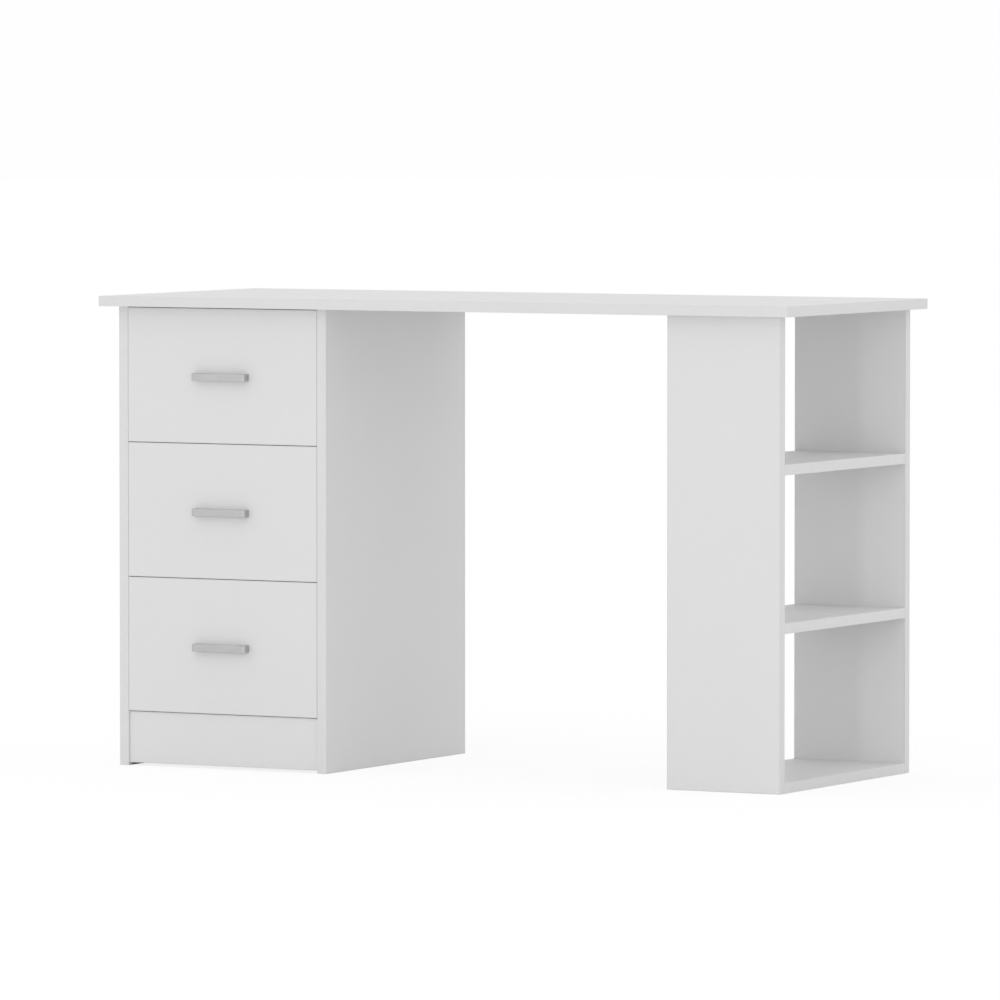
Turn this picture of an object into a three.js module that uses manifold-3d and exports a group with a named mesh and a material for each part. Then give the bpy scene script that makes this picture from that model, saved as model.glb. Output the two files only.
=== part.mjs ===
// A straight flat-pack desk: a worktop on a three-drawer pedestal at the left and an open
// bookcase tower at the right, with a clear kneehole between them.
//
// Millimetres, +Z up. The front of the desk faces -Y and the drawers are at -X. The origin is on
// the floor, under the centre of the worktop.

import * as THREE from "three";
import { mergeVertices } from "three/addons/utils/BufferGeometryUtils.js";
import Module from "manifold-3d";

const wasm = await Module();
wasm.setup();

// ---------------------------------------------------------------- driving dimensions

// Whole desk
const WORKTOP_LENGTH = 1200;
const WORKTOP_DEPTH = 488;
const DESK_HEIGHT = 735;
const BOARD = 16; // worktop, panels, shelves and drawer fronts
const SIDE_OVERHANG = 23;
const FRONT_OVERHANG = 24;
const REAR_OVERHANG = 14;

// Drawer pedestal
const PEDESTAL_WIDTH = 371;
const PLINTH_TOP = 85;
const PLINTH_RECESS = 3; // behind the front edges of the side panels
const PLINTH_LIFT = 4.5; // off the floor, so only the side panels stand on it
const TOP_RAIL_HEIGHT = 80;
const HARDBOARD = 3;
const REBATE_DEPTH = 3.25; // in the rear edge of each side panel, for the back board
const REBATE_WIDTH = 8;
const BACK_CLEARANCE = 1;

// Bookcase tower
const BOOKCASE_WIDTH = 191;
const SHELF_UNDERSIDES = { bottom: 0, lower: 241, upper: 480 };

// Drawers
const DRAWER_NAMES = ["bottom", "middle", "top"];
const FRONT_GAP = 1; // between fronts, and below the bottom one
const TOP_GAP = 1.75; // between the top front and the worktop
const FRONT_SIDE_GAP = 0.375;
const BOX_LIFT = 20; // from the lower edge of the front to the bottom of the box
const BOX_LENGTH = 400;
const BOX_HEIGHT = 150;
const BOX_BOARD = 12;
const GROOVE_LIFT = 12;
const GROOVE_HEIGHT = 3.25;
const GROOVE_DEPTH = 6;
const FRONT_GROOVE_DEPTH = 4;
const GROOVE_END_CLEARANCE = 0.5;

// Roller runners, one pair of steel members on each side of a drawer
const RUNNER_SPACE = 12.5; // between the drawer side and the case side
const SHEET = 1.25;
const RUNNER_SETBACK = 2; // behind the back face of the drawer front
const CASE_RUNNER_LENGTH = 400;
const CHANNEL_WIDTH = 9.75;
const CHANNEL_FLOOR = -1.25; // upper face of the channel's floor, from the bottom of the box
const CHANNEL_ROOF = 15.5; // lower face of its roof
const CHANNEL_LIP_TOP = 1;
const ROOF_CUTBACK = 26; // the roof stops behind the front roller
const DRAWER_RUNNER_LENGTH = 396;
const TRACK_UNDERSIDE = 21; // the flange that rides on the front roller
const TRACK_CLEARANCE = 2.5; // from the flange's outer edge to the case side

// Rollers and the riveted pins that they turn on
const FRONT_ROLLER = { radius: 9, height: 11.75, inner: 1.75, outer: 7.75 };
const REAR_ROLLER = { radius: 8, height: 7, inner: 2.5, outer: 8.25 };
const ROLLER_INSET = 12; // from the end of the member to the roller's centre
const ROLLER_BORE = 2.75;
const PIN_RADIUS = 2.5;
const PIN_HEAD_RADIUS = 4.5;
const PIN_HEAD_THICKNESS = 0.75;
const PIN_PLAY = 0.25; // along the pin, on each side of the roller
const ROLLER_SEGMENTS = 24;
const PIN_SEGMENTS = 16;

// Bow handles
const HANDLE_LENGTH = 96;
const HANDLE_HEIGHT = 11.5;
const HANDLE_PROJECTION = 14;
const HANDLE_BAR = 5;
const HANDLE_LEG = 13.5;
const HANDLE_DROP = 1.5; // below the middle of the front
const HANDLE_OUTER_RADIUS = 4;
const HANDLE_INNER_RADIUS = 3;

// ---------------------------------------------------------------- worked-out dimensions

const CASE_HEIGHT = DESK_HEIGHT - BOARD;
const CASE_DEPTH = WORKTOP_DEPTH - FRONT_OVERHANG - REAR_OVERHANG;
const CASE_FRONT = -WORKTOP_DEPTH / 2 + FRONT_OVERHANG;
const PEDESTAL_X = -WORKTOP_LENGTH / 2 + SIDE_OVERHANG + PEDESTAL_WIDTH / 2;
const BOOKCASE_X = WORKTOP_LENGTH / 2 - SIDE_OVERHANG - BOOKCASE_WIDTH / 2;

const INNER_HALF = PEDESTAL_WIDTH / 2 - BOARD;
const BACK_FACE = CASE_DEPTH - REBATE_DEPTH; // front of the back board
const BOX_HALF = INNER_HALF - RUNNER_SPACE;
const BOX_INNER_HALF = BOX_HALF - BOX_BOARD;
const FRONT_PITCH = (CASE_HEIGHT - PLINTH_TOP - TOP_GAP) / DRAWER_NAMES.length;
const FRONT_HEIGHT = FRONT_PITCH - FRONT_GAP;

// ---------------------------------------------------------------- finishes

const WHITE_BOARD = { color: 0xf1f1ef, roughness: 0.42, metalness: 0 };
const DRAWER_FOIL = { color: 0xebebe8, roughness: 0.5, metalness: 0 };
const WHITE_HARDBOARD = { color: 0xe6e5e1, roughness: 0.55, metalness: 0 };
const BROWN_HARDBOARD = { color: 0x8a6846, roughness: 0.8, metalness: 0 };
const WHITE_STEEL = { color: 0xe4e4e0, roughness: 0.35, metalness: 0.1 };
const NYLON = { color: 0xd9d8d2, roughness: 0.5, metalness: 0 };
const SATIN_SILVER = { color: 0xb4b5b7, roughness: 0.38, metalness: 0.85 };

// ---------------------------------------------------------------- geometry helpers

// A block between two corners.
function block([x0, x1], [y0, y1], [z0, z1]) {
  const geometry = new THREE.BoxGeometry(x1 - x0, y1 - y0, z1 - z0);
  return geometry.translate((x0 + x1) / 2, (y0 + y1) / 2, (z0 + z1) / 2);
}

function extrude(shape, length, curveSegments = 6) {
  return new THREE.ExtrudeGeometry(shape, { depth: length, bevelEnabled: false, curveSegments });
}

function outline(points) {
  return new THREE.Shape(points.map(([a, b]) => new THREE.Vector2(a, b)));
}

// A plan outline in X and Y, standing from z0 to z1.
function standing(shape, [z0, z1]) {
  return extrude(shape, z1 - z0).translate(0, 0, z0);
}

// A cross-section in X and Z, running from y0 back to y1.
function running(shape, [y0, y1]) {
  return extrude(shape, y1 - y0).rotateX(Math.PI / 2).translate(0, y1, 0);
}

// A round bar along X.
function barAlongX(radius, [x0, x1], y, z) {
  const geometry = new THREE.CylinderGeometry(radius, radius, Math.abs(x1 - x0), PIN_SEGMENTS);
  return geometry.rotateZ(Math.PI / 2).translate((x0 + x1) / 2, y, z);
}

// ---------------------------------------------------------------- joining and cutting

function toSolid(geometry) {
  const bare = geometry.clone();
  bare.deleteAttribute("normal");
  bare.deleteAttribute("uv");
  const merged = mergeVertices(bare);
  return new wasm.Manifold(new wasm.Mesh({
    numProp: 3,
    vertProperties: Float32Array.from(merged.attributes.position.array),
    triVerts: Uint32Array.from(merged.index.array),
  }));
}

function toGeometry(solid) {
  const { vertProperties, triVerts } = solid.getMesh();
  const geometry = new THREE.BufferGeometry();
  geometry.setAttribute("position", new THREE.BufferAttribute(vertProperties, 3));
  geometry.setIndex(new THREE.BufferAttribute(triVerts, 1));
  geometry.computeVertexNormals();
  return geometry;
}

function join(...geometries) {
  return toGeometry(geometries.map(toSolid).reduce((whole, next) => whole.add(next)));
}

function cut(geometry, tool) {
  return toGeometry(toSolid(geometry).subtract(toSolid(tool)));
}

// ---------------------------------------------------------------- assembly helpers

function part(name, geometry, finish) {
  const mesh = new THREE.Mesh(geometry, new THREE.MeshStandardMaterial(finish));
  mesh.name = name;
  return mesh;
}

function assembly(x, y, z, ...members) {
  const group = new THREE.Group();
  group.position.set(x, y, z);
  group.add(...members);
  return group;
}

// ---------------------------------------------------------------- worktop

function worktop() {
  const board = new THREE.BoxGeometry(WORKTOP_LENGTH, WORKTOP_DEPTH, BOARD);
  const mesh = part("desk_top", board, WHITE_BOARD);
  mesh.position.z = DESK_HEIGHT - BOARD / 2;
  return mesh;
}

// ---------------------------------------------------------------- drawer pedestal
// Its frame has X at the middle of its width, Y at the front edges of the sides and Z on the floor.

// side is -1 for the left panel and 1 for the right one. The rear edge is rebated inside.
function pedestalSide(side) {
  const outer = side * (INNER_HALF + BOARD);
  const inner = side * INNER_HALF;
  const rebate = side * (INNER_HALF + REBATE_WIDTH);
  const plan = outline([
    [outer, 0], [inner, 0], [inner, BACK_FACE], [rebate, BACK_FACE],
    [rebate, CASE_DEPTH], [outer, CASE_DEPTH],
  ]);
  return standing(plan, [0, CASE_HEIGHT]);
}

function pedestalCase() {
  const across = [-INNER_HALF, INNER_HALF];
  const rear = [BACK_FACE - BOARD, BACK_FACE];
  const plinthBack = PLINTH_RECESS + BOARD;
  const panelUnderside = PLINTH_TOP - BOARD;
  const backHalf = INNER_HALF + REBATE_WIDTH - BACK_CLEARANCE;
  return [
    part("pedestal_left_side", pedestalSide(-1), WHITE_BOARD),
    part("pedestal_right_side", pedestalSide(1), WHITE_BOARD),
    part("plinth_front",
      block(across, [PLINTH_RECESS, plinthBack], [PLINTH_LIFT, PLINTH_TOP]), WHITE_BOARD),
    part("plinth_rear", block(across, rear, [PLINTH_LIFT, panelUnderside]), WHITE_BOARD),
    part("pedestal_bottom_panel",
      block(across, [plinthBack, BACK_FACE], [panelUnderside, PLINTH_TOP]), WHITE_BOARD),
    part("pedestal_rear_top_rail",
      block(across, rear, [CASE_HEIGHT - TOP_RAIL_HEIGHT, CASE_HEIGHT]), WHITE_BOARD),
    part("pedestal_back_panel",
      block([-backHalf, backHalf], [BACK_FACE, BACK_FACE + HARDBOARD],
        [panelUnderside, CASE_HEIGHT - BACK_CLEARANCE]), BROWN_HARDBOARD),
  ];
}

// ---------------------------------------------------------------- runners
// A drawer's frame has Y at the face of its front and Z at the lower edge of its front.
// u is measured from the case side inwards, and w upwards from the bottom of the box.

function sideSection(side, points) {
  return outline(points.map(([u, w]) => [side * (INNER_HALF - u), BOX_LIFT + w]));
}

function acrossRunner(side, u0, u1) {
  return [side * (INNER_HALF - u0), side * (INNER_HALF - u1)];
}

function caseRunner(side) {
  const y0 = BOARD + RUNNER_SETBACK;
  const floor = CHANNEL_FLOOR - SHEET;
  const roof = CHANNEL_ROOF + SHEET;
  const lip = CHANNEL_WIDTH - SHEET;
  const section = sideSection(side, [
    [0, floor], [CHANNEL_WIDTH, floor], [CHANNEL_WIDTH, CHANNEL_LIP_TOP], [lip, CHANNEL_LIP_TOP],
    [lip, CHANNEL_FLOOR], [SHEET, CHANNEL_FLOOR], [SHEET, CHANNEL_ROOF],
    [CHANNEL_WIDTH, CHANNEL_ROOF], [CHANNEL_WIDTH, roof], [0, roof],
  ]);
  const channel = running(section, [y0, y0 + CASE_RUNNER_LENGTH]);
  const [x0, x1] = acrossRunner(side, SHEET, RUNNER_SPACE).sort((a, b) => a - b);
  const roofOpening = block([x0, x1], [y0 - 1, y0 + ROOF_CUTBACK],
    [BOX_LIFT + CHANNEL_ROOF - 1, BOX_LIFT + roof + 1]);
  const { height, outer } = FRONT_ROLLER;
  const y = y0 + ROLLER_INSET;
  const z = BOX_LIFT + height;
  const head = outer + PIN_PLAY;
  return join(
    cut(channel, roofOpening),
    barAlongX(PIN_RADIUS, acrossRunner(side, SHEET / 2, head + PIN_HEAD_THICKNESS / 2), y, z),
    barAlongX(PIN_HEAD_RADIUS, acrossRunner(side, head, head + PIN_HEAD_THICKNESS), y, z),
  );
}

function drawerRunner(side) {
  const y0 = BOARD + RUNNER_SETBACK;
  const y1 = y0 + DRAWER_RUNNER_LENGTH;
  const web = RUNNER_SPACE - SHEET;
  const underSide = RUNNER_SPACE + BOX_BOARD;
  const trackTop = TRACK_UNDERSIDE + SHEET;
  const section = sideSection(side, [
    [web, -SHEET], [underSide, -SHEET], [underSide, 0], [RUNNER_SPACE, 0],
    [RUNNER_SPACE, trackTop], [TRACK_CLEARANCE, trackTop], [TRACK_CLEARANCE, TRACK_UNDERSIDE],
    [web, TRACK_UNDERSIDE],
  ]);
  const { height, inner } = REAR_ROLLER;
  const y = y1 - ROLLER_INSET;
  const z = BOX_LIFT + height;
  const head = inner - PIN_PLAY;
  return join(
    running(section, [y0, y1]),
    barAlongX(PIN_RADIUS, acrossRunner(side, head - PIN_HEAD_THICKNESS / 2, web + SHEET / 2), y, z),
    barAlongX(PIN_HEAD_RADIUS, acrossRunner(side, head - PIN_HEAD_THICKNESS, head), y, z),
  );
}

function roller(side, { radius, height, inner, outer }, y) {
  const profile = [
    [ROLLER_BORE, inner], [radius, inner], [radius, outer], [ROLLER_BORE, outer],
    [ROLLER_BORE, inner],
  ].map(([r, u]) => new THREE.Vector2(r, u));
  const geometry = new THREE.LatheGeometry(profile, ROLLER_SEGMENTS);
  // The lathe turns about Y; its axis is laid along X, reaching inwards from the case side.
  geometry.rotateZ(side * Math.PI / 2).translate(side * INNER_HALF, y, BOX_LIFT + height);
  return geometry;
}

// ---------------------------------------------------------------- handle

function handle() {
  const half = HANDLE_LENGTH / 2;
  const innerHalf = half - HANDLE_LEG;
  const front = -HANDLE_PROJECTION;
  const barBack = front + HANDLE_BAR;
  const R = HANDLE_OUTER_RADIUS;
  const r = HANDLE_INNER_RADIUS;
  const plan = new THREE.Shape();
  plan.moveTo(-half, 0);
  plan.lineTo(-half, front + R);
  plan.absarc(-half + R, front + R, R, Math.PI, 1.5 * Math.PI, false);
  plan.lineTo(half - R, front);
  plan.absarc(half - R, front + R, R, 1.5 * Math.PI, 2 * Math.PI, false);
  plan.lineTo(half, 0);
  plan.lineTo(innerHalf, 0);
  plan.lineTo(innerHalf, barBack + r);
  plan.absarc(innerHalf - r, barBack + r, r, 0, -Math.PI / 2, true);
  plan.lineTo(-innerHalf + r, barBack);
  plan.absarc(-innerHalf + r, barBack + r, r, -Math.PI / 2, -Math.PI, true);
  plan.lineTo(-innerHalf, 0);
  const middle = FRONT_HEIGHT / 2 - HANDLE_DROP;
  return standing(plan, [middle - HANDLE_HEIGHT / 2, middle + HANDLE_HEIGHT / 2]);
}

// ---------------------------------------------------------------- drawers

// The front, with a stopped groove at the back for the front edge of the bottom board.
function drawerFront() {
  const half = INNER_HALF - FRONT_SIDE_GAP;
  const grooveHalf = BOX_INNER_HALF + GROOVE_DEPTH;
  const grooveFloor = BOX_LIFT + GROOVE_LIFT;
  return cut(
    block([-half, half], [0, BOARD], [0, FRONT_HEIGHT]),
    block([-grooveHalf, grooveHalf], [BOARD - FRONT_GROOVE_DEPTH, BOARD + 1],
      [grooveFloor, grooveFloor + GROOVE_HEIGHT]),
  );
}

function drawerSide(side) {
  const outer = BOX_HALF * side;
  const inner = BOX_INNER_HALF * side;
  const groove = (BOX_INNER_HALF + GROOVE_DEPTH) * side;
  const floor = BOX_LIFT;
  const top = BOX_LIFT + BOX_HEIGHT;
  const grooveFloor = BOX_LIFT + GROOVE_LIFT;
  const section = outline([
    [outer, floor], [inner, floor], [inner, grooveFloor], [groove, grooveFloor],
    [groove, grooveFloor + GROOVE_HEIGHT], [inner, grooveFloor + GROOVE_HEIGHT],
    [inner, top], [outer, top],
  ]);
  return running(section, [BOARD, BOARD + BOX_LENGTH]);
}

function drawerBottom() {
  const half = BOX_INNER_HALF + GROOVE_DEPTH - GROOVE_END_CLEARANCE;
  const z0 = BOX_LIFT + GROOVE_LIFT;
  const y0 = BOARD - FRONT_GROOVE_DEPTH + GROOVE_END_CLEARANCE;
  return block([-half, half], [y0, BOARD + BOX_LENGTH], [z0, z0 + HARDBOARD]);
}

// The back stands on the bottom board, between the sides.
function drawerBack() {
  const y1 = BOARD + BOX_LENGTH;
  const z0 = BOX_LIFT + GROOVE_LIFT + HARDBOARD;
  return block([-BOX_INNER_HALF, BOX_INNER_HALF], [y1 - BOX_BOARD, y1],
    [z0, BOX_LIFT + BOX_HEIGHT]);
}

function drawer(name) {
  const label = `${name}_drawer`;
  const frontRollerY = BOARD + RUNNER_SETBACK + ROLLER_INSET;
  const rearRollerY = BOARD + RUNNER_SETBACK + DRAWER_RUNNER_LENGTH - ROLLER_INSET;
  const members = [
    part(`${label}_front`, drawerFront(), WHITE_BOARD),
    part(`${label}_bottom`, drawerBottom(), WHITE_HARDBOARD),
    part(`${label}_back`, drawerBack(), DRAWER_FOIL),
    part(`${label}_handle`, handle(), SATIN_SILVER),
  ];
  for (const [hand, side] of [["left", -1], ["right", 1]]) {
    members.push(
      part(`${label}_${hand}_side`, drawerSide(side), DRAWER_FOIL),
      part(`${label}_${hand}_runner`, drawerRunner(side), WHITE_STEEL),
      part(`${label}_${hand}_rear_roller`, roller(side, REAR_ROLLER, rearRollerY), NYLON),
      part(`${name}_case_${hand}_runner`, caseRunner(side), WHITE_STEEL),
      part(`${name}_case_${hand}_front_roller`, roller(side, FRONT_ROLLER, frontRollerY), NYLON),
    );
  }
  return members;
}

function drawers() {
  return DRAWER_NAMES.map((name, row) => (
    assembly(0, 0, PLINTH_TOP + FRONT_GAP + row * FRONT_PITCH, ...drawer(name))
  ));
}

// ---------------------------------------------------------------- bookcase tower
// Its frame has X at the middle of its width, Y at its front face and Z on the floor.

function bookcase() {
  const across = [-BOOKCASE_WIDTH / 2, BOOKCASE_WIDTH / 2];
  const upright = (y0) => block(across, [y0, y0 + BOARD], [0, CASE_HEIGHT]);
  const shelf = (z0) => block(across, [BOARD, CASE_DEPTH - BOARD], [z0, z0 + BOARD]);
  const shelves = Object.entries(SHELF_UNDERSIDES).map(([name, z0]) => (
    part(`bookcase_${name}_shelf`, shelf(z0), WHITE_BOARD)
  ));
  return [
    part("bookcase_front_panel", upright(0), WHITE_BOARD),
    part("bookcase_rear_panel", upright(CASE_DEPTH - BOARD), WHITE_BOARD),
    ...shelves,
  ];
}

// ---------------------------------------------------------------- desk

const desk = assembly(0, 0, 0,
  worktop(),
  assembly(PEDESTAL_X, CASE_FRONT, 0, ...pedestalCase(), ...drawers()),
  assembly(BOOKCASE_X, CASE_FRONT, 0, ...bookcase()),
);

export default desk;
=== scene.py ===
# Looks for a straight white flat-pack desk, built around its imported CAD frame.
# Metres, +Z up, the front of the desk towards -Y and its drawers at -X.

import math

import bmesh
import bpy
from mathutils import Matrix, Vector


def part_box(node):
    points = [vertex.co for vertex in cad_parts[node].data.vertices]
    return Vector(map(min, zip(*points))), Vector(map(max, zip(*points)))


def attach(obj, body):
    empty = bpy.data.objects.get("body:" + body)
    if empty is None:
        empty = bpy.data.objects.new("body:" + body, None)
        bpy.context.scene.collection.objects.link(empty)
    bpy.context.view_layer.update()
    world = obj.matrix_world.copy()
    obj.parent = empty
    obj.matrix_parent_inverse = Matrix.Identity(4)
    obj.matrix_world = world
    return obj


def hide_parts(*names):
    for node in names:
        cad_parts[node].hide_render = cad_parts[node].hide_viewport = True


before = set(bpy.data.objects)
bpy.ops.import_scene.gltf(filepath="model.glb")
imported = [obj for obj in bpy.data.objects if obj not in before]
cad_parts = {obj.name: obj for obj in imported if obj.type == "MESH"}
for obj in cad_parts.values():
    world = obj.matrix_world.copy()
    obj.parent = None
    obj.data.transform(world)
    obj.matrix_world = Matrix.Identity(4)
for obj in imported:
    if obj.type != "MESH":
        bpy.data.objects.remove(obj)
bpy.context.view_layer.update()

MM = 0.001
DRAWERS = ("top", "middle", "bottom")
HANDS = {"left": -1, "right": 1}
CASE = "desk_case"

# ---------------------------------------------------------------- camera, light and floor

AIM = Vector((-19.3, 0, 419)) * MM
CAMERA_DISTANCE = 13.5335
AZIMUTH, ELEVATION = math.radians(28.287), math.radians(2.9924)
LENS = 313.05  # on a 36 mm sensor

WORLD_LIGHT = 0.99
KEY_POWER = 11
KEY_PLACE = Vector((-2.2, -5.4, 1.0))
KEY_SIZE = (3.0, 3.0)
STRIP_POWER = 14
STRIP_PLACE = Vector((1.4, -4.8, 0.75))
STRIP_SIZE = (0.22, 1.4)
FLOOR_RADIUS = 60
FLOOR_DROP = 0.0003
FLOOR_GLOW = 0.85
FLOOR_SHADE = 0.15  # how much of the seen floor's tone a contact shadow takes away
BOUNCE = 0.88


def make_camera():
    data = bpy.data.cameras.new("camera")
    data.lens = LENS
    data.sensor_width = 36
    data.clip_start, data.clip_end = 0.1, 500
    camera = bpy.data.objects.new("camera", data)
    bpy.context.scene.collection.objects.link(camera)
    back = Vector((
        math.sin(AZIMUTH) * math.cos(ELEVATION),
        -math.cos(AZIMUTH) * math.cos(ELEVATION),
        math.sin(ELEVATION),
    ))
    camera.location = AIM + back * CAMERA_DISTANCE
    camera.rotation_euler = (-back).to_track_quat("-Z", "Y").to_euler()
    bpy.context.scene.camera = camera


def make_light():
    world = bpy.data.worlds.new("studio")
    world.use_nodes = True
    background = world.node_tree.nodes["Background"]
    background.inputs["Color"].default_value = (1, 1, 1, 1)
    background.inputs["Strength"].default_value = WORLD_LIGHT
    bpy.context.scene.world = world
    softbox("key", KEY_PLACE, KEY_SIZE, KEY_POWER)
    softbox("strip", STRIP_PLACE, STRIP_SIZE, STRIP_POWER)
    bpy.context.scene.view_settings.view_transform = "Standard"


def softbox(name, place, size, power):
    data = bpy.data.lights.new(name, "AREA")
    data.shape, (data.size, data.size_y), data.energy = "RECTANGLE", size, power
    lamp = bpy.data.objects.new(name, data)
    bpy.context.scene.collection.objects.link(lamp)
    lamp.location = place
    lamp.rotation_euler = (AIM - place).to_track_quat("-Z", "Y").to_euler()


def make_floor():
    """A white floor for the camera, and under it the pale one that lights the desk."""
    seen = Finish("pale_floor", specular=0)
    seen.colour(seen.noise(0.7), grey(FLOOR_SHADE), grey(FLOOR_SHADE + 0.005))
    seen.roughness(seen.noise(3), 0.85, 0.95)
    seen.surface.inputs["Emission Color"].default_value = (1, 1, 1, 1)
    seen.surface.inputs["Emission Strength"].default_value = FLOOR_GLOW
    floor = make_disc("floor", seen.material, FLOOR_DROP)
    floor.visible_diffuse = floor.visible_glossy = floor.visible_shadow = False
    matt = Finish("bounce_floor", specular=0)
    matt.colour(matt.noise(0.7), grey(BOUNCE), grey(BOUNCE + 0.01))
    matt.roughness(matt.noise(3), 0.85, 0.95)
    make_disc("bounce_floor", matt.material, 2 * FLOOR_DROP).visible_camera = False


def make_disc(name, material, depth):
    mesh = bmesh.new()
    bmesh.ops.create_circle(mesh, cap_ends=True, segments=64, radius=FLOOR_RADIUS)
    disc = mesh_object(name, mesh, [material])
    disc.location.z = -depth
    return disc


# ---------------------------------------------------------------- materials

class Finish:
    """A node material. Each helper adds one node and returns the socket that the next one reads."""

    def __init__(self, name, metallic=0.0, specular=0.5):
        self.material = bpy.data.materials.new(name)
        self.material.use_nodes = True
        self.tree = self.material.node_tree
        self.surface = self.tree.nodes["Principled BSDF"]
        self.surface.inputs["Metallic"].default_value = metallic
        self.surface.inputs["Specular IOR Level"].default_value = specular
        self.normal = None

    def add(self, kind, settings=None, **inputs):
        node = self.tree.nodes.new(kind)
        for key, value in (settings or {}).items():
            setattr(node, key, value)
        for key, value in inputs.items():
            socket = node.inputs[key]
            if isinstance(value, bpy.types.NodeSocket):
                self.tree.links.new(value, socket)
            else:
                socket.default_value = value
        return node

    def place(self, stretch=(1, 1, 1)):
        here = self.add("ShaderNodeTexCoord").outputs["Object"]
        return self.add("ShaderNodeMapping", Vector=here, Scale=stretch).outputs["Vector"]

    def noise(self, scale, detail=2.0, stretch=(1, 1, 1)):
        where = self.place(stretch)
        return self.add("ShaderNodeTexNoise", Vector=where, Scale=scale, Detail=detail).outputs[0]

    def cells(self, scale, stretch=(1, 1, 1), output="Distance"):
        where = self.place(stretch)
        return self.add("ShaderNodeTexVoronoi", Vector=where, Scale=scale).outputs[output]

    def ribs(self, pitch, axis):
        """Fine parallel ribs, one for each pitch in metres, counted along an axis."""
        settings = {"wave_type": "BANDS", "bands_direction": axis}
        scale = 2 * math.pi / 20 / pitch
        return self.add("ShaderNodeTexWave", settings, Vector=self.place(), Scale=scale).outputs[1]

    def spread(self, factor, low, high):
        """A noise's usual 0.3 to 0.7 spread over low to high."""
        node = self.add("ShaderNodeMapRange", Value=factor)
        for key, value in zip(("From Min", "From Max", "To Min", "To Max"), (0.3, 0.7, low, high)):
            node.inputs[key].default_value = value
        return node.outputs[0]

    def sum(self, first, second, weight):
        """first + weight * second"""
        node = self.add("ShaderNodeMath", {"operation": "MULTIPLY_ADD"})
        self.tree.links.new(second, node.inputs[0])
        node.inputs[1].default_value = weight
        self.tree.links.new(first, node.inputs[2])
        return node.outputs[0]

    def mixed(self, factor, first, second):
        node = self.add("ShaderNodeMix", {"data_type": "RGBA"})
        self.tree.links.new(self.spread(factor, 0, 1), node.inputs[0])
        for socket, value in ((node.inputs[6], first), (node.inputs[7], second)):
            if isinstance(value, bpy.types.NodeSocket):
                self.tree.links.new(value, socket)
            else:
                socket.default_value = (*value, 1)
        return node.outputs[2]

    def colour(self, factor, first, second):
        self.tree.links.new(self.mixed(factor, first, second), self.surface.inputs["Base Color"])

    def roughness(self, factor, low, high):
        self.tree.links.new(self.spread(factor, low, high), self.surface.inputs["Roughness"])

    def bump(self, height, depth, strength=1.0):
        """Adds relief of this depth, in metres, over what is there already."""
        node = self.add("ShaderNodeBump", Height=height, Distance=depth, Strength=strength)
        if self.normal:
            self.tree.links.new(self.normal, node.inputs["Normal"])
        self.normal = node.outputs["Normal"]
        self.tree.links.new(self.normal, self.surface.inputs["Normal"])


def grey(value, warmth=0.0):
    return (value * (1 + warmth), value, value * (1 - warmth))


def melamine():
    """White board laminate: a fine pearl texture, faint mottling and slightly uneven gloss."""
    f = Finish("white_melamine", specular=0.1)
    cloud = f.mixed(f.noise(7, 4), grey(0.712), grey(0.726))
    f.colour(f.noise(700, 3), cloud, grey(0.724, 0.002))
    f.roughness(f.noise(46, 5), 0.42, 0.56)
    f.bump(f.noise(21, 1), 0.00018, 0.5)
    f.bump(f.noise(1300, 2), 0.00002, 0.6)
    return f.material


def edge_band():
    """White ABS edging: a little glossier, with fine milling marks along the edge."""
    f = Finish("white_edge_band", specular=0.3)
    f.colour(f.noise(60, 3), grey(0.692), grey(0.706))
    f.roughness(f.noise(260, 3), 0.32, 0.42)
    f.bump(f.noise(900, 2, (1, 1, 0.15)), 0.00002, 0.5)
    return f.material


def worn_arris():
    """The milled corner of the edging, where handling has left faint grey scuffs."""
    f = Finish("worn_arris", specular=0.3)
    scuffs = f.sum(f.noise(300, 4), f.noise(35, 3), 0.6)
    f.colour(f.spread(scuffs, -0.2, 0.5), grey(0.715), grey(0.64, 0.006))
    f.roughness(f.noise(420, 3), 0.30, 0.48)
    f.bump(f.noise(800, 3), 0.00004, 0.5)
    return f.material


def glue_line():
    f = Finish("glue_line")
    f.colour(f.noise(400, 2), grey(0.50, 0.02), grey(0.60, 0.02))
    f.roughness(f.noise(300), 0.6, 0.8)
    return f.material


def chipboard():
    """Raw particle board: pale and darker chips between fine dust."""
    f = Finish("raw_chipboard")
    chips = f.cells(420, (1, 1, 1.6), "Color")
    tone = f.mixed(chips, (0.60, 0.44, 0.27), (0.36, 0.22, 0.11))
    f.colour(f.noise(700, 5), tone, (0.66, 0.52, 0.34))
    f.roughness(f.noise(500), 0.8, 0.95)
    f.bump(f.cells(420, (1, 1, 1.6)), 0.0004, 0.7)
    f.bump(f.noise(1500, 4), 0.0001, 0.6)
    return f.material


def drawer_foil():
    """White paper foil on the drawer boxes, with a shallow embossed grain along their length."""
    f = Finish("drawer_foil")
    f.colour(f.noise(25, 4, (3, 0.4, 3)), grey(0.76, 0.005), grey(0.785, 0.005))
    f.roughness(f.noise(120, 4, (3, 0.3, 3)), 0.48, 0.60)
    f.bump(f.noise(900, 3, (1, 0.06, 1)), 0.00006, 0.7)
    return f.material


def lacquered_hardboard():
    """The white side of thin hardboard: rolled lacquer with a pebbled skin."""
    f = Finish("white_hardboard")
    f.colour(f.noise(40, 4), grey(0.72, 0.008), grey(0.76, 0.008))
    f.roughness(f.noise(150, 3), 0.40, 0.55)
    f.bump(f.noise(520, 3), 0.00008, 0.6)
    return f.material


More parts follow.
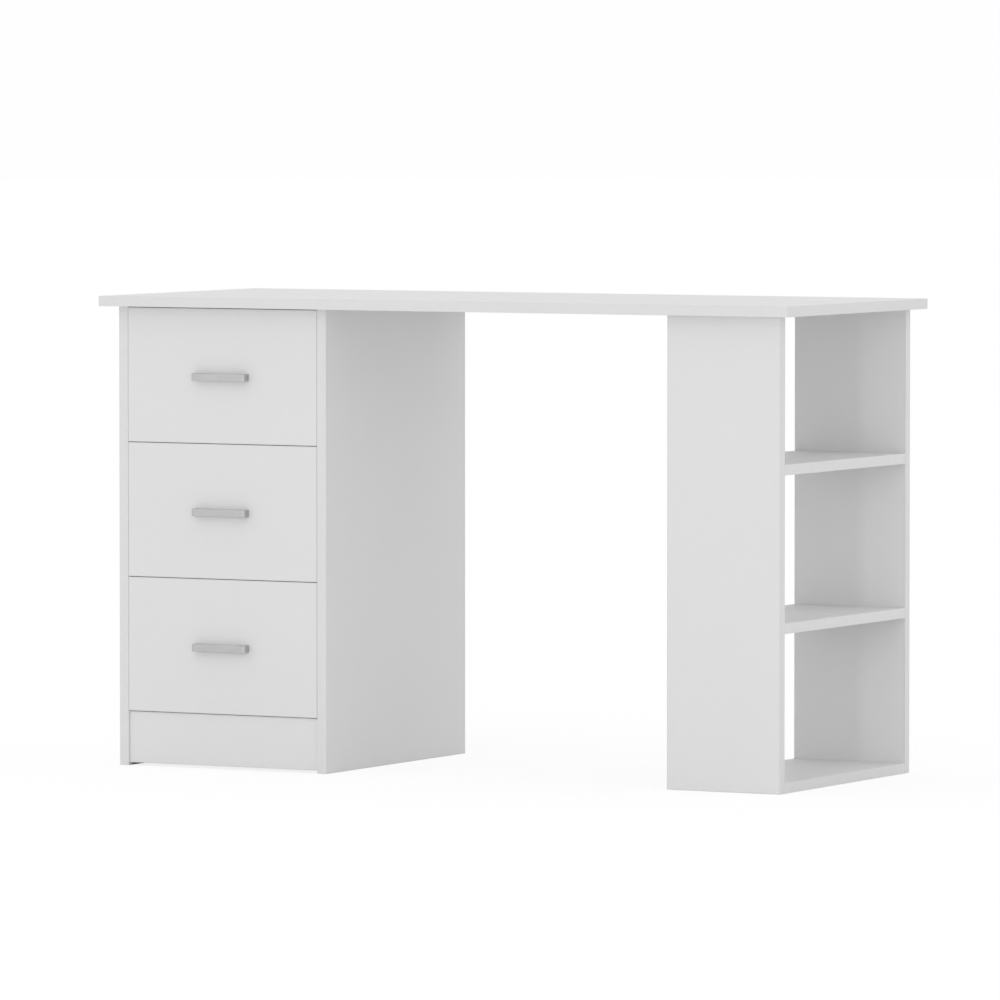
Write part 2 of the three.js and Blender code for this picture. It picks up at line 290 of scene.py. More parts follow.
def raw_hardboard():
    """The brown side of hardboard: matted fibres with the imprint of a wire screen."""
    f = Finish("brown_hardboard")
    fibres = f.noise(420, 6, (1, 1, 0.5))
    cloudy = f.mixed(f.noise(14, 4), (0.23, 0.125, 0.060), (0.30, 0.170, 0.085))
    f.colour(fibres, cloudy, (0.37, 0.22, 0.12))
    f.roughness(f.noise(180), 0.75, 0.92)
    screen = f.sum(f.ribs(0.0016, "X"), f.ribs(0.0016, "Z"), 1.0)
    f.bump(screen, 0.00012, 0.5)
    f.bump(f.noise(900, 4), 0.0001, 0.5)
    return f.material


def epoxy_steel():
    """White stove-enamelled sheet steel with orange peel."""
    f = Finish("epoxy_coated_steel")
    f.colour(f.noise(90, 3), grey(0.74, 0.012), grey(0.77, 0.012))
    f.roughness(f.noise(200, 2), 0.34, 0.44)
    f.bump(f.noise(240, 0), 0.00002, 0.25)
    return f.material


def nylon():
    f = Finish("white_nylon")
    f.surface.inputs["Subsurface Weight"].default_value = 0.15
    f.surface.inputs["Subsurface Radius"].default_value = (0.002, 0.002, 0.0018)
    f.colour(f.noise(150, 3), grey(0.66, 0.02), grey(0.71, 0.02))
    f.roughness(f.noise(500, 3), 0.38, 0.50)
    f.bump(f.noise(1500, 2), 0.00003, 0.5)
    return f.material


def zinc():
    """Die-cast and plated zinc: patchy brightness and small scratches."""
    f = Finish("zinc_fittings", metallic=1.0)
    f.colour(f.cells(260, output="Color"), (0.50, 0.51, 0.53), (0.62, 0.63, 0.65))
    f.roughness(f.noise(420, 4), 0.28, 0.48)
    f.bump(f.noise(1600, 3, (1, 0.2, 1)), 0.00003, 0.6)
    return f.material


def satin_silver():
    """The handles' satin silver coat, brushed along the bar."""
    f = Finish("satin_silver", metallic=1.0)
    brushed = f.noise(1500, 3, (0.02, 1, 1))
    f.colour(f.noise(120, 3, (0.3, 1, 1)), grey(0.488), grey(0.522))
    f.roughness(brushed, 0.34, 0.46)
    f.bump(brushed, 0.00002, 0.35)
    return f.material


def cap_plastic():
    f = Finish("white_cap_plastic")
    f.colour(f.noise(300, 3), grey(0.76), grey(0.79))
    f.roughness(f.noise(700, 2), 0.30, 0.42)
    f.bump(f.noise(1200, 2), 0.00002, 0.5)
    return f.material


# ---------------------------------------------------------------- mesh helpers

def mesh_object(name, mesh, materials):
    """A bmesh as an object. The bmesh is used up."""
    bmesh.ops.recalc_face_normals(mesh, faces=mesh.faces)
    data = bpy.data.meshes.new(name)
    mesh.to_mesh(data)
    mesh.free()
    for material in materials:
        data.materials.append(material)
    made = bpy.data.objects.new(name, data)
    bpy.context.scene.collection.objects.link(made)
    return made


def piece(made, body, slot, *nodes):
    """Puts an object on its body and hides the CAD nodes it stands for. The slot is not used."""
    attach(made, body)
    if nodes:
        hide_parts(*nodes)
    return made


def smooth(made, angle=40):
    """Smooth shading between sharp edges, with flat faces kept flat."""
    made.data.shade_smooth()
    made.data.set_sharp_from_angle(angle=math.radians(angle))
    weighted = made.modifiers.new("flat faces stay flat", "WEIGHTED_NORMAL")
    weighted.keep_sharp = True
    return made


def skin(mesh, loops, capped=True, material=0):
    """Joins a row of equal closed loops of points by quads, with a face on each end."""
    rings = [[mesh.verts.new(point) for point in loop] for loop in loops]
    count = len(rings[0])
    for low, high in zip(rings, rings[1:]):
        for i in range(count):
            j = (i + 1) % count
            mesh.faces.new((low[i], low[j], high[j], high[i])).material_index = material
    if capped:
        mesh.faces.new(reversed(rings[0])).material_index = material
        mesh.faces.new(rings[-1]).material_index = material
    return rings


def add_block(mesh, low, high, material=0):
    (x0, y0, z0), (x1, y1, z1) = low, high
    corners = ((x0, y0), (x1, y0), (x1, y1), (x0, y1))
    skin(mesh, [[(x, y, z) for x, y in corners] for z in (z0, z1)], material=material)


def add_turned(mesh, profile, segments, matrix=Matrix.Identity(4), material=0):
    """A closed solid of revolution about Z. The profile is (radius, height) from axis to axis,
    or a closed outline clear of the axis if its first point isn't on it."""
    solid = profile[0][0] == 0
    rings = []
    for radius, height in profile:
        turns = 1 if radius == 0 else segments
        angles = (2 * math.pi * i / segments for i in range(turns))
        rings.append([
            mesh.verts.new(matrix @ Vector((radius * math.cos(a), radius * math.sin(a), height)))
            for a in angles
        ])
    pairs = list(zip(rings, rings[1:]))
    if not solid:
        pairs.append((rings[-1], rings[0]))
    for low, high in pairs:
        for i in range(segments):
            j = (i + 1) % segments
            corners = [low[i % len(low)], low[j % len(low)], high[j % len(high)],
                       high[i % len(high)]]
            unique = list(dict.fromkeys(corners))
            if len(unique) > 2:
                mesh.faces.new(unique).material_index = material


def arc(centre, radius, start, end, steps):
    """Points on an arc, from one angle in degrees to another."""
    angles = (math.radians(start + (end - start) * i / steps) for i in range(steps + 1))
    return [(centre[0] + radius * math.cos(a), centre[1] + radius * math.sin(a)) for a in angles]


def filleted(corners, radii, steps=4):
    """A closed outline with each corner rounded to its own radius."""
    points = []
    count = len(corners)
    for i, radius in enumerate(radii):
        here = Vector(corners[i])
        before = (Vector(corners[i - 1]) - here).normalized()
        after = (Vector(corners[(i + 1) % count]) - here).normalized()
        if radius <= 0:
            points.append(tuple(here))
            continue
        half = before.angle(after) / 2
        reach = radius / math.tan(half)
        centre = here + (before + after).normalized() * (radius / math.sin(half))
        first = here + before * reach - centre
        last = here + after * reach - centre
        turn = first.angle_signed(last)
        for k in range(steps + 1):
            # angle_signed counts clockwise and Matrix.Rotation the other way, hence the minus
            rotation = Matrix.Rotation(-turn * k / steps, 2)
            points.append(tuple(centre + rotation @ first))
    return points


def carve(made, cutter):
    """Cuts a mesh object away from another and removes it. The cut faces keep its material."""
    cut = made.modifiers.new("cut", "BOOLEAN")
    cut.operation, cut.solver, cut.object = "DIFFERENCE", "EXACT", cutter
    cut.material_mode = "TRANSFER"
    bpy.context.view_layer.update()
    evaluated = made.evaluated_get(bpy.context.evaluated_depsgraph_get())
    data = bpy.data.meshes.new_from_object(evaluated)
    made.modifiers.clear()
    made.data = data
    bpy.data.objects.remove(cutter)
    return made


# ---------------------------------------------------------------- boards

BAND = 0.8 * MM
SEAM = 0.16 * MM
SEAM_DEPTH = 0.1 * MM
ARRIS = 0.3 * MM
FRONT_ARRIS = 0.15 * MM  # drawer fronts
SHEET_ARRIS = 0.2 * MM  # hardboard
BOX_ARRIS = 1.2 * MM  # drawer boxes
CORNER = 0.8 * MM
CORNER_STEPS = 3
AXES = "xyz"


def edge_profile(thickness, arris, banded):
    """(inset, height) pairs from the lower face round the edge to the upper one."""
    lower = []
    if banded:
        lower = [(BAND + SEAM, 0), (BAND + SEAM / 2, SEAM_DEPTH), (BAND, 0)]
    lower += [(arris + x, arris + y) for x, y in arc((0, 0), arris, -90, -180, CORNER_STEPS)]
    upper = [(inset, thickness - height) for inset, height in reversed(lower)]
    return lower + upper, len(lower)


def rounded_loop(low, high, inset, radius):
    """A rectangle's outline with small round corners, starting at its high u, low v corner."""
    r = max(radius - inset, 0.02 * MM)
    u0, v0, u1, v1 = low[0] + inset, low[1] + inset, high[0] - inset, high[1] - inset
    centres = ((u1 - r, v0 + r), (u1 - r, v1 - r), (u0 + r, v1 - r), (u0 + r, v0 + r))
    points = []
    for i, centre in enumerate(centres):
        points += arc(centre, r, 90 * i - 90, 90 * i, CORNER_STEPS)
    return points


def board(name, node, axis, faces, edge, body=CASE, slot="white_board", raw=(), raw_finish=None,
          arris=ARRIS, banded=True):
    """A board that fills a CAD node's box. axis is the one across its thickness, faces its lower
    and upper face's materials, and raw names edges that are left bare, such as "-z"."""
    low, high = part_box(node)
    w = AXES.index(axis)
    u, v = (w + 1) % 3, (w + 2) % 3
    profile, turn = edge_profile(high[w] - low[w], arris, banded)
    mesh = bmesh.new()
    loops = []
    for inset, height in profile:
        loop = []
        for a, b in rounded_loop((low[u], low[v]), (high[u], high[v]), inset, CORNER):
            point = [0, 0, 0]
            point[u], point[v], point[w] = a, b, low[w] + height
            loop.append(point)
        loops.append(loop)
    rings = skin(mesh, loops, capped=False)
    lower, upper, band, bare, seam, worn = range(6)
    sides = ["+" + AXES[u], "+" + AXES[v], "-" + AXES[u], "-" + AXES[v]]
    mesh.faces.ensure_lookup_table()
    count, rows = len(rings[0]), len(rings) - 1
    for row in range(rows):
        from_face = min(row, rows - 1 - row)
        for i in range(count):
            face = mesh.faces[row * count + i]
            if from_face == turn - 1:
                face.material_index = bare if sides[i // (CORNER_STEPS + 1)] in raw else band
            elif banded and from_face < 2:
                face.material_index = seam
            else:
                face.material_index = worn if banded else band
    mesh.faces.new(reversed(rings[0])).material_index = lower
    mesh.faces.new(rings[-1]).material_index = upper
    wanted = [*faces, edge, raw_finish or edge, GLUE, ARRIS_FINISH]
    finishes = list(dict.fromkeys(wanted))
    for face in mesh.faces:
        face.material_index = finishes.index(wanted[face.material_index])
    return piece(mesh_object(name, mesh, finishes), body, slot, node)


def block_cutter(low, high, material):
    mesh = bmesh.new()
    add_block(mesh, low, high)
    return mesh_object("cutter", mesh, [material])


def drill(made, places, radius, depth, material):
    """Bores flat-bottomed holes into an object. Each place is a point on a face and its normal."""
    mesh = bmesh.new()
    for point, normal in places:
        turn = Vector(normal).to_track_quat("Z", "Y").to_matrix().to_4x4()
        profile = [(0, -depth), (radius, -depth), (radius, MM), (0, MM)]
        add_turned(mesh, profile, 24, Matrix.Translation(point) @ turn)
    return carve(made, mesh_object("cutter", mesh, [material]))


# ---------------------------------------------------------------- fittings
# Each template is built about +Z, which points out of the face, with z = 0 on the face.

CAM_RADIUS = 7.4 * MM
CAM_POCKET = 12.5 * MM
SMALL_CAM_RADIUS = 5.9 * MM
SMALL_CAM_POCKET = 9.2 * MM
CAM_CLEARANCE = 0.15 * MM
CAM_SETBACK = 34 * MM  # from the joint to the middle of the cam


def template(name, profile, material, slot_width, slot_length, slot_depth, segments=28):
    """A turned head with a cross recess, as mesh data."""
    mesh = bmesh.new()
    add_turned(mesh, profile, segments)
    head = mesh_object(name, mesh, [material])
    if slot_width:
        top = max(height for _, height in profile)
        for width, length in ((slot_width, slot_length), (slot_length, slot_width)):
            half, reach = width / 2, length / 2
            carve(head, block_cutter((-half, -reach, top - slot_depth), (half, reach, top + MM),
                                     material))
    data = head.data
    bpy.data.objects.remove(head)
    return data


def fittings(name, body, slot, data, places):
    """Copies of one template joined into one piece. Each place is a point and a normal."""
    mesh = bmesh.new()
    for point, normal in places:
        single = bmesh.new()
        single.from_mesh(data)
        turn = Vector(normal).to_track_quat("Z", "Y").to_matrix().to_4x4()
        single.transform(Matrix.Translation(point) @ turn)
        copy = bpy.data.meshes.new("copy")
        single.to_mesh(copy)
        single.free()
        mesh.from_mesh(copy)
        bpy.data.meshes.remove(copy)
    made = mesh_object(name, mesh, list(data.materials))
    return piece(smooth(made), body, slot)


def cam_template():
    r = CAM_RADIUS
    profile = [
        (0, -9 * MM), (r, -9 * MM), (r, -0.5 * MM), (r - 0.4 * MM, -0.15 * MM),
        (r - 1.4 * MM, -0.15 * MM), (r - 1.7 * MM, -0.5 * MM), (3.4 * MM, -0.5 * MM),
        (3.1 * MM, -0.2 * MM), (0, -0.2 * MM),
    ]
    return template("cam", profile, ZINC, 1.3 * MM, 5.6 * MM, 2.2 * MM)


def pan_head_template():
    top, r = 2.4 * MM, 4 * MM
    crown = [(r * math.sin(a), top * (0.35 + 0.65 * math.cos(a)))
             for a in (math.radians(d) for d in (75, 55, 35, 15))]
    profile = [(0, -0.2 * MM), (r, -0.2 * MM), (r, 0.3 * top), *crown, (0, top)]
    return template("pan_head", profile, ZINC, 0.9 * MM, 4.4 * MM, 1.3 * MM)


def flat_head_template():
    r = 3.2 * MM
    profile = [
        (0, -1.2 * MM), (1.6 * MM, -1.2 * MM), (r, -0.1 * MM), (r, 0.05 * MM),
        (r - 0.3 * MM, 0.12 * MM), (0, 0.12 * MM),
    ]
    return template("flat_head", profile, ZINC, 0.8 * MM, 3.6 * MM, 0.9 * MM)


def low_head_template():
    """A thin round head for the drawer runners, where there is little room beside the track."""
    r = 3.4 * MM
    profile = [
        (0, -0.2 * MM), (r, -0.2 * MM), (r, 0.45 * MM), (r - 0.35 * MM, 0.8 * MM),
        (1.8 * MM, 1.0 * MM), (0, 1.05 * MM),
    ]
    return template("low_head", profile, ZINC, 0.8 * MM, 3.4 * MM, 0.7 * MM)


def nail_template():
    r = 2.1 * MM
    profile = [(0, -0.2 * MM), (r, -0.2 * MM), (r, 0.2 * MM), (r * 0.7, 0.5 * MM), (0, 0.6 * MM)]
    return template("nail", profile, ZINC, 0, 0, 0, 16)


def cap_template():
    r = 8.6 * MM
    profile = [
        (0, -1 * MM), (r - MM, -MM), (r - MM, 0), (r, 0), (r, 0.35 * MM), (r - 0.5 * MM, 0.8 * MM),
        (r - 1.6 * MM, 0.95 * MM), (0, 1.1 * MM),
    ]
    return template("cap", profile, CAP, 0, 0, 0, 36)


def with_cams(made, name, body, places, radius=CAM_RADIUS, data=None):
    """Cam locks let into pockets in a board."""
    pocket = CAM_POCKET if data is None else SMALL_CAM_POCKET
    drill(made, places, radius + CAM_CLEARANCE, pocket, CHIPBOARD)
    fittings(name, body, "zinc_fittings", data or CAM, places)


# ---------------------------------------------------------------- worktop and bookcase

def make_worktop():
    board("worktop", "desk_top", "z", (LAMINATE, LAMINATE), EDGE)


SHELF_CAM_OFFSET = 60 * MM  # from the middle of the bookcase


def make_bookcase():
    front_low, front_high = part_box("bookcase_front_panel")
    rear_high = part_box("bookcase_rear_panel")[1]
    middle = (front_low.x + front_high.x) / 2
    spots = [middle - SHELF_CAM_OFFSET, middle + SHELF_CAM_OFFSET]
    top = front_high.z - CAM_SETBACK
    for end, y in (("front", front_high.y), ("rear", rear_high.y)):
        made = board(f"bookcase_{end}_board", f"bookcase_{end}_panel", "y", (LAMINATE, LAMINATE),
                     EDGE, raw=("+z",), raw_finish=CHIPBOARD)
        with_cams(made, f"bookcase_{end}_cams", CASE, [((x, y, top), (0, 1, 0)) for x in spots])
    caps = [((x, rear_high.y, top), (0, 1, 0)) for x in spots]
    fittings("bookcase_rear_caps", CASE, "white_caps", CAP_HEAD, caps)
    for name in ("bottom", "lower", "upper"):
        node = f"bookcase_{name}_shelf"
        low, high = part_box(node)
        made = board(f"bookcase_{name}_shelf_board", node, "z", (LAMINATE, LAMINATE), EDGE,
                     raw=("-y", "+y"), raw_finish=CHIPBOARD)
        places = [((x, y, low.z), (0, 0, -1)) for x in spots
                  for y in (low.y + CAM_SETBACK, high.y - CAM_SETBACK)]
        with_cams(made, f"bookcase_{name}_shelf_cams", CASE, places)


# ---------------------------------------------------------------- pedestal

SIDE_CAM_INSET = 70 * MM
PANEL_CAM_INSET = 60 * MM


def make_pedestal():
    back_low, back_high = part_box("pedestal_back_panel")
    for hand, side in HANDS.items():
        node = f"pedestal_{hand}_side"
        low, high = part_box(node)
        made = board(f"{node}_board", node, "x", (LAMINATE, LAMINATE), EDGE, raw=("+z",),
                     raw_finish=CHIPBOARD)
        inner = high.x if side < 0 else low.x
        edge = back_low.x - MM if side < 0 else back_high.x + MM
        x0, x1 = sorted((inner - side * MM, edge))
        rebate = block_cutter((x0, back_low.y, low.z - MM), (x1, high.y + MM, high.z + MM),
                              CHIPBOARD)
        carve(made, rebate)
        spots = (low.y + SIDE_CAM_INSET, high.y - SIDE_CAM_INSET)
        places = [((inner, y, high.z - CAM_SETBACK), (-side, 0, 0)) for y in spots]
        with_cams(made, f"pedestal_{hand}_cams", CASE, places)
    inner_boards = {
        "plinth_front": ("y", (0, 1, 0)),
        "plinth_rear": ("y", (0, -1, 0)),
        "pedestal_bottom_panel": ("z", (0, 0, -1)),
        "pedestal_rear_top_rail": ("y", (0, -1, 0)),
    }
    for node, (axis, normal) in inner_boards.items():
        low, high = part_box(node)
        made = board(f"{node}_board", node, axis, (LAMINATE, LAMINATE), EDGE, raw=("-x", "+x"),
                     raw_finish=CHIPBOARD)
        centre = (low + high) / 2
        w = AXES.index(axis)
        face = (high if normal[w] > 0 else low)[w]
        places = []
        for x in (low.x + CAM_SETBACK, high.x - CAM_SETBACK):
            for y in ((centre.y,) if axis == "y"
                      else (low.y + PANEL_CAM_INSET, high.y - PANEL_CAM_INSET)):
                point = Vector((x, y, centre.z))
                point[w] = face
                places.append((point, normal))
        with_cams(made, f"{node}_cams", CASE, places)
    make_back_panel(back_low, back_high)


NAIL_ROWS = 8
NAIL_COLUMNS = 4  # spaces between the nails along the top and bottom
NAIL_INSET = 5 * MM


def make_back_panel(low, high):
    board("pedestal_back_board", "pedestal_back_panel", "y", (WHITE_HARDBOARD, BROWN_HARDBOARD),
          BROWN_HARDBOARD, slot="brown_hardboard", arris=SHEET_ARRIS, banded=False)
    places = []
    for i in range(NAIL_ROWS):
        z = low.z + 20 * MM + (high.z - low.z - 40 * MM) * i / (NAIL_ROWS - 1)
        columns = (low.x + NAIL_INSET, high.x - NAIL_INSET)
        places += [((x, high.y, z), (0, 1, 0)) for x in columns]
    for i in range(1, NAIL_COLUMNS):
        x = low.x + (high.x - low.x) * i / NAIL_COLUMNS
        places += [((x, high.y, z), (0, 1, 0)) for z in (low.z + 9 * MM, high.z - 9 * MM)]
    fittings("back_panel_nails", CASE, "zinc_fittings", NAIL, places)


# ---------------------------------------------------------------- drawers

HANDLE_EDGE = 0.5 * MM
HANDLE_LEG = 13.5 * MM
HANDLE_BAR = 5 * MM
HANDLE_OUTER_RADIUS = 4 * MM
HANDLE_INNER_RADIUS = 3 * MM
SCREW_SPACING = 80 * MM


def make_handle(name):
    """A bow handle: a bar on two feet, rounded in plan and softened along every edge."""
    node = f"{name}_handle"
    low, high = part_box(node)
    x = (low.x + high.x) / 2
    half = (high.x - low.x) / 2
    foot = half - HANDLE_LEG
    inner = low.y + HANDLE_BAR
    corners = [
        (-half, high.y), (-half, low.y), (half, low.y), (half, high.y),
        (foot, high.y), (foot, inner), (-foot, inner), (-foot, high.y),
    ]
    outer, bend = HANDLE_OUTER_RADIUS, HANDLE_INNER_RADIUS
    radii = [0, outer, outer, 0, 0, bend, bend, 0]
    outline = filleted(corners, radii, 8)
    mesh = bmesh.new()
    skin(mesh, [[(x + a, b, z) for a, b in outline] for z in (low.z, high.z)])
    made = mesh_object(f"{name}_bow", mesh, [SILVER])
    soft = made.modifiers.new("soft edges", "BEVEL")
    soft.width, soft.segments = HANDLE_EDGE, 4
    soft.limit_method, soft.angle_limit = "ANGLE", math.radians(50)
    soft.use_clamp_overlap = True
    smooth(made)
    piece(made, name, "handle_silver", node)
    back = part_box(f"{name}_front")[1].y
    z = (low.z + high.z) / 2
    places = [((x + s * SCREW_SPACING / 2, back, z), (0, 1, 0)) for s in (-1, 1)]
    fittings(f"{name}_handle_screws", name, "zinc_fittings", PAN_HEAD, places)


BOX_CAM_INSET = 24 * MM
BOX_FIXING_HEIGHTS = (48 * MM, 116 * MM)
GROOVE_PLAY = 0.25 * MM


def make_drawer_box(name):
    front_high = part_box(f"{name}_front")[1]
    sheet_low, sheet_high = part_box(f"{name}_bottom")
    back_low, back_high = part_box(f"{name}_back")
    front = board(f"{name}_front_board", f"{name}_front", "y", (LAMINATE, LAMINATE), EDGE,
                  body=name, arris=FRONT_ARRIS)
    carve(front, block_cutter(sheet_low, (sheet_high.x, front_high.y + MM, sheet_high.z),
                              CHIPBOARD))
    board(f"{name}_bottom_board", f"{name}_bottom", "z", (BROWN_HARDBOARD, WHITE_HARDBOARD),
          BROWN_HARDBOARD, body=name, slot="white_hardboard", arris=SHEET_ARRIS, banded=False)
    board(f"{name}_back_board", f"{name}_back", "y", (FOIL, FOIL), FOIL, body=name,
          slot="drawer_foil", raw=("-x", "+x"), raw_finish=CHIPBOARD, arris=BOX_ARRIS,
          banded=False)
    for hand, side in HANDS.items():
        node = f"{name}_{hand}_side"
        low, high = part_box(node)
        made = board(f"{node}_board", node, "x", (FOIL, FOIL), FOIL, body=name,
                     slot="drawer_foil", raw=("-y", "+y"), raw_finish=CHIPBOARD,
                     arris=BOX_ARRIS, banded=False)
        inner, outer = (high.x, low.x) if side < 0 else (low.x, high.x)
        depth = sheet_low.x if side < 0 else sheet_high.x
        x0, x1 = sorted((inner - side * MM, depth + side * 0.5 * MM))
        groove = block_cutter((x0, low.y - MM, sheet_low.z),
                              (x1, high.y + MM, sheet_high.z + GROOVE_PLAY), CHIPBOARD)
        carve(made, groove)
        heights = [low.z + lift for lift in BOX_FIXING_HEIGHTS]
        cams = [((inner, low.y + BOX_CAM_INSET, z), (-side, 0, 0)) for z in heights]
        with_cams(made, f"{name}_{hand}_cams", name, cams, SMALL_CAM_RADIUS, SMALL_CAM)
        back = (back_low.y + back_high.y) / 2
        screws = [((outer, back, z), (side, 0, 0)) for z in heights]
        fittings(f"{name}_{hand}_back_screws", name, "zinc_fittings", FLAT_HEAD, screws)


# ---------------------------------------------------------------- runners and rollers

SHEET = 1.25 * MM
OUTER_BEND = 1.9 * MM
INNER_BEND = 0.65 * MM
RAW_END = 0.4 * MM
ROLLER_SEGMENTS = 48
PIN_RADIUS = 2.5 * MM
PIN_HEAD_RADIUS = 4.5 * MM
CHANNEL_ROOF = 15.5 * MM  # its lower face, from the bottom of the box
CHANNEL_LIP = MM
ROOF_CUTBACK = 26 * MM
HOLE_RADIUS = 2 * MM
HOLE_PITCH = 64 * MM


def make_section(name, body, node, corners, radii, ends, extras, cutters):
    """A length of folded sheet steel: a section in X and Z, run from one end to the other."""
    outline = filleted(corners, radii, 4)
    mesh = bmesh.new()
    skin(mesh, [[(x, y, z) for x, z in outline] for y in ends])
    made = mesh_object(name, mesh, [STEEL])
    for cutter in cutters:
        carve(made, cutter)
    mesh = bmesh.new()
    mesh.from_mesh(made.data)
    for profile, matrix in extras:
        add_turned(mesh, profile, 32, matrix)
    bpy.data.objects.remove(made)
    made = smooth(mesh_object(name, mesh, [STEEL]), 35)
    return piece(made, body, "runner_steel", node)


def along_x(x, y, z, side):
    """A matrix that lays +Z along X, pointing away from the case side."""
    turn = Matrix.Rotation(math.radians(-90 * side), 4, "Y")
    return Matrix.Translation((x, y, z)) @ turn


def hole_cutters(x, ys, z, side):
    mesh = bmesh.new()
    for y in ys:
        profile = [(0, -2 * MM), (HOLE_RADIUS, -2 * MM), (HOLE_RADIUS, 3 * MM), (0, 3 * MM)]
        add_turned(mesh, profile, 20, along_x(x, y, z, side))
    return mesh_object("cutter", mesh, [STEEL])


def make_case_runner(label, hand, side, drawer_bottom):
    node = f"{label}_case_{hand}_runner"
    low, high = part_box(node)
    wall = low.x if side < 0 else high.x
    width = high.x - low.x
    floor, roof = low.z + SHEET, drawer_bottom + CHANNEL_ROOF
    lip = drawer_bottom + CHANNEL_LIP

    def at(u):
        return wall - side * u

    corners = [
        (at(0), low.z), (at(width), low.z), (at(width), lip), (at(width - SHEET), lip),
        (at(width - SHEET), floor), (at(SHEET), floor), (at(SHEET), roof),
        (at(width), roof), (at(width), roof + SHEET), (at(0), roof + SHEET),
    ]
    radii = [OUTER_BEND, 1.2 * MM, RAW_END, RAW_END, INNER_BEND / 2, INNER_BEND, INNER_BEND,
             RAW_END, RAW_END, OUTER_BEND]
    x0, x1 = sorted((at(SHEET), at(width + MM)))
    opening = block_cutter((x0, low.y - MM, roof - MM),
                           (x1, low.y + ROOF_CUTBACK, roof + SHEET + MM), STEEL)
    roller_low, roller_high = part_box(f"{label}_case_{hand}_front_roller")
    centre = (roller_low + roller_high) / 2
    length = abs(centre.x - at(0)) + 3.2 * MM
    pin = [(0, 0.3 * MM), (PIN_RADIUS, 0.3 * MM), (PIN_RADIUS, length), (PIN_HEAD_RADIUS, length),
           (PIN_HEAD_RADIUS, length + 0.45 * MM), (PIN_HEAD_RADIUS - 0.5 * MM, length + 0.75 * MM),
           (0, length + 0.8 * MM)]
    middle = (floor + roof) / 2
    holes = [low.y + 60 * MM + i * HOLE_PITCH for i in range(6)]
    screws = [holes[0] + 16 * MM, holes[3] + 16 * MM, holes[5] + 12 * MM]
    cutters = [opening, hole_cutters(at(0), holes, middle, side)]
    extras = [(pin, along_x(at(0), centre.y, centre.z, side))]
    make_section(f"{node}_channel", CASE, node, corners, radii, (low.y, high.y), extras, cutters)
    places = [((at(SHEET), y, middle), (-side, 0, 0)) for y in screws]
    fittings(f"{node}_screws", CASE, "zinc_fittings", FLAT_HEAD, places)


def make_drawer_runner(name, hand, side):
    node = f"{name}_{hand}_runner"
    low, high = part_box(node)
    side_low, side_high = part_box(f"{name}_{hand}_side")
    face = side_low.x if side < 0 else side_high.x
    inner = side_high.x if side < 0 else side_low.x
    track_edge = low.x if side < 0 else high.x
    web = face + side * SHEET
    bottom = side_low.z
    corners = [
        (web, bottom - SHEET), (inner, bottom - SHEET), (inner, bottom), (face, bottom),
        (face, high.z), (track_edge, high.z), (track_edge, high.z - SHEET),
        (web, high.z - SHEET),
    ]
    radii = [OUTER_BEND, RAW_END, RAW_END, INNER_BEND, OUTER_BEND, RAW_END, RAW_END, INNER_BEND]
    roller_low, roller_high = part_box(f"{name}_{hand}_rear_roller")
    centre = (roller_low + roller_high) / 2
    tip = roller_low.x if side < 0 else roller_high.x
    reach = abs(tip - face) + 0.25 * MM
    pin = [(0, 0.3 * MM), (4 * MM, 0.3 * MM), (4 * MM, SHEET + 2.4 * MM),
           (PIN_RADIUS, SHEET + 2.6 * MM), (PIN_RADIUS, reach), (PIN_HEAD_RADIUS, reach),
           (PIN_HEAD_RADIUS, reach + 0.4 * MM), (PIN_HEAD_RADIUS - 0.5 * MM, reach + 0.7 * MM),
           (0, reach + 0.75 * MM)]
    holes = [low.y + 40 * MM + i * HOLE_PITCH for i in range(5)]
    screws = [holes[0] + 24 * MM, holes[3] + 24 * MM]
    height = bottom + 9 * MM
    cutters = [hole_cutters(face, holes, height, -side)]
    extras = [(pin, along_x(face, centre.y, centre.z, -side))]
    make_section(f"{node}_angle", name, node, corners, radii, (low.y, high.y), extras, cutters)
    places = [((web, y, height), (side, 0, 0)) for y in screws]
    fittings(f"{node}_screws", name, "zinc_fittings", LOW_HEAD, places)


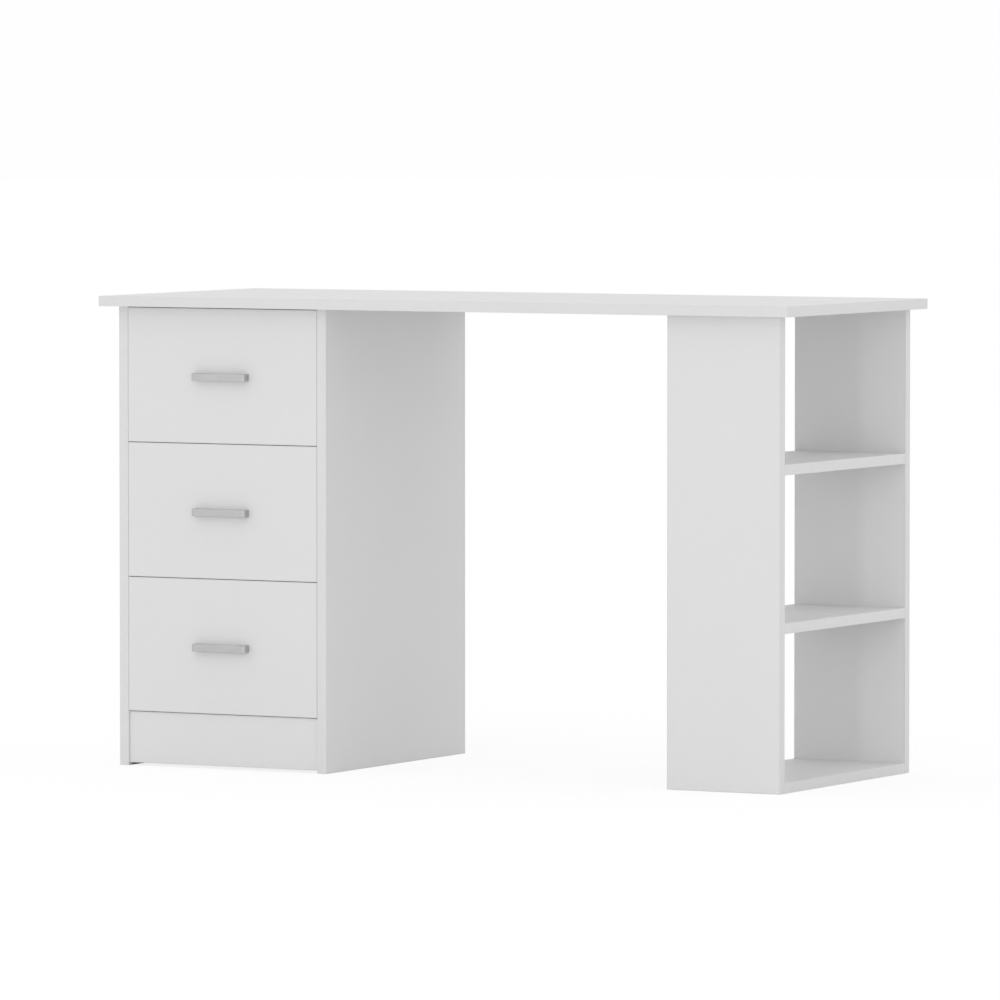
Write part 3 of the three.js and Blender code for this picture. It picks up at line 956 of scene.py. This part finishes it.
def make_roller(node):
    """A moulded nylon roller: a crowned tread between rounded rims, round a raised hub."""
    low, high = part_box(node)
    centre = (low + high) / 2
    radius = (high.z - low.z) / 2
    half = (high.x - low.x) / 2
    bore = 2.75 * MM
    hub = bore + 1.3 * MM
    rim = radius - 1.5 * MM
    dish = half - 0.7 * MM
    side_face = [
        (bore, -half + 0.3 * MM), (bore + 0.3 * MM, -half), (hub, -half), (hub + 0.2 * MM, -dish),
        (rim - 0.3 * MM, -dish), (rim, -half + 0.1 * MM), (radius - 0.7 * MM, -half),
        (radius - 0.25 * MM, -half + 0.25 * MM), (radius - 0.08 * MM, -half + 0.8 * MM),
    ]
    profile = side_face + [(radius, 0)] + [(r, -h) for r, h in reversed(side_face)]
    mesh = bmesh.new()
    add_turned(mesh, profile, ROLLER_SEGMENTS,
               Matrix.Translation(centre) @ Matrix.Rotation(math.pi / 2, 4, "Y"))
    made = smooth(mesh_object(f"{node}_wheel", mesh, [NYLON]), 35)
    piece(made, node, "roller_nylon", node)


def make_drawers():
    for label in DRAWERS:
        name = f"{label}_drawer"
        make_drawer_box(name)
        make_handle(name)
        drawer_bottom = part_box(f"{name}_left_side")[0].z
        for hand, side in HANDS.items():
            make_case_runner(label, hand, side, drawer_bottom)
            make_drawer_runner(name, hand, side)
            make_roller(f"{label}_case_{hand}_front_roller")
            make_roller(f"{name}_{hand}_rear_roller")


# ---------------------------------------------------------------- scene

make_camera()
make_light()
make_floor()

LAMINATE = melamine()
EDGE = edge_band()
ARRIS_FINISH = worn_arris()
GLUE = glue_line()
CHIPBOARD = chipboard()
FOIL = drawer_foil()
WHITE_HARDBOARD = lacquered_hardboard()
BROWN_HARDBOARD = raw_hardboard()
STEEL = epoxy_steel()
NYLON = nylon()
ZINC = zinc()
SILVER = satin_silver()
CAP = cap_plastic()

CAM = cam_template()
PAN_HEAD = pan_head_template()
FLAT_HEAD = flat_head_template()
LOW_HEAD = low_head_template()
NAIL = nail_template()
CAP_HEAD = cap_template()
SMALL_CAM = CAM.copy()
SMALL_CAM.transform(Matrix.Scale(SMALL_CAM_RADIUS / CAM_RADIUS, 4))

make_worktop()
make_bookcase()
make_pedestal()
make_drawers()
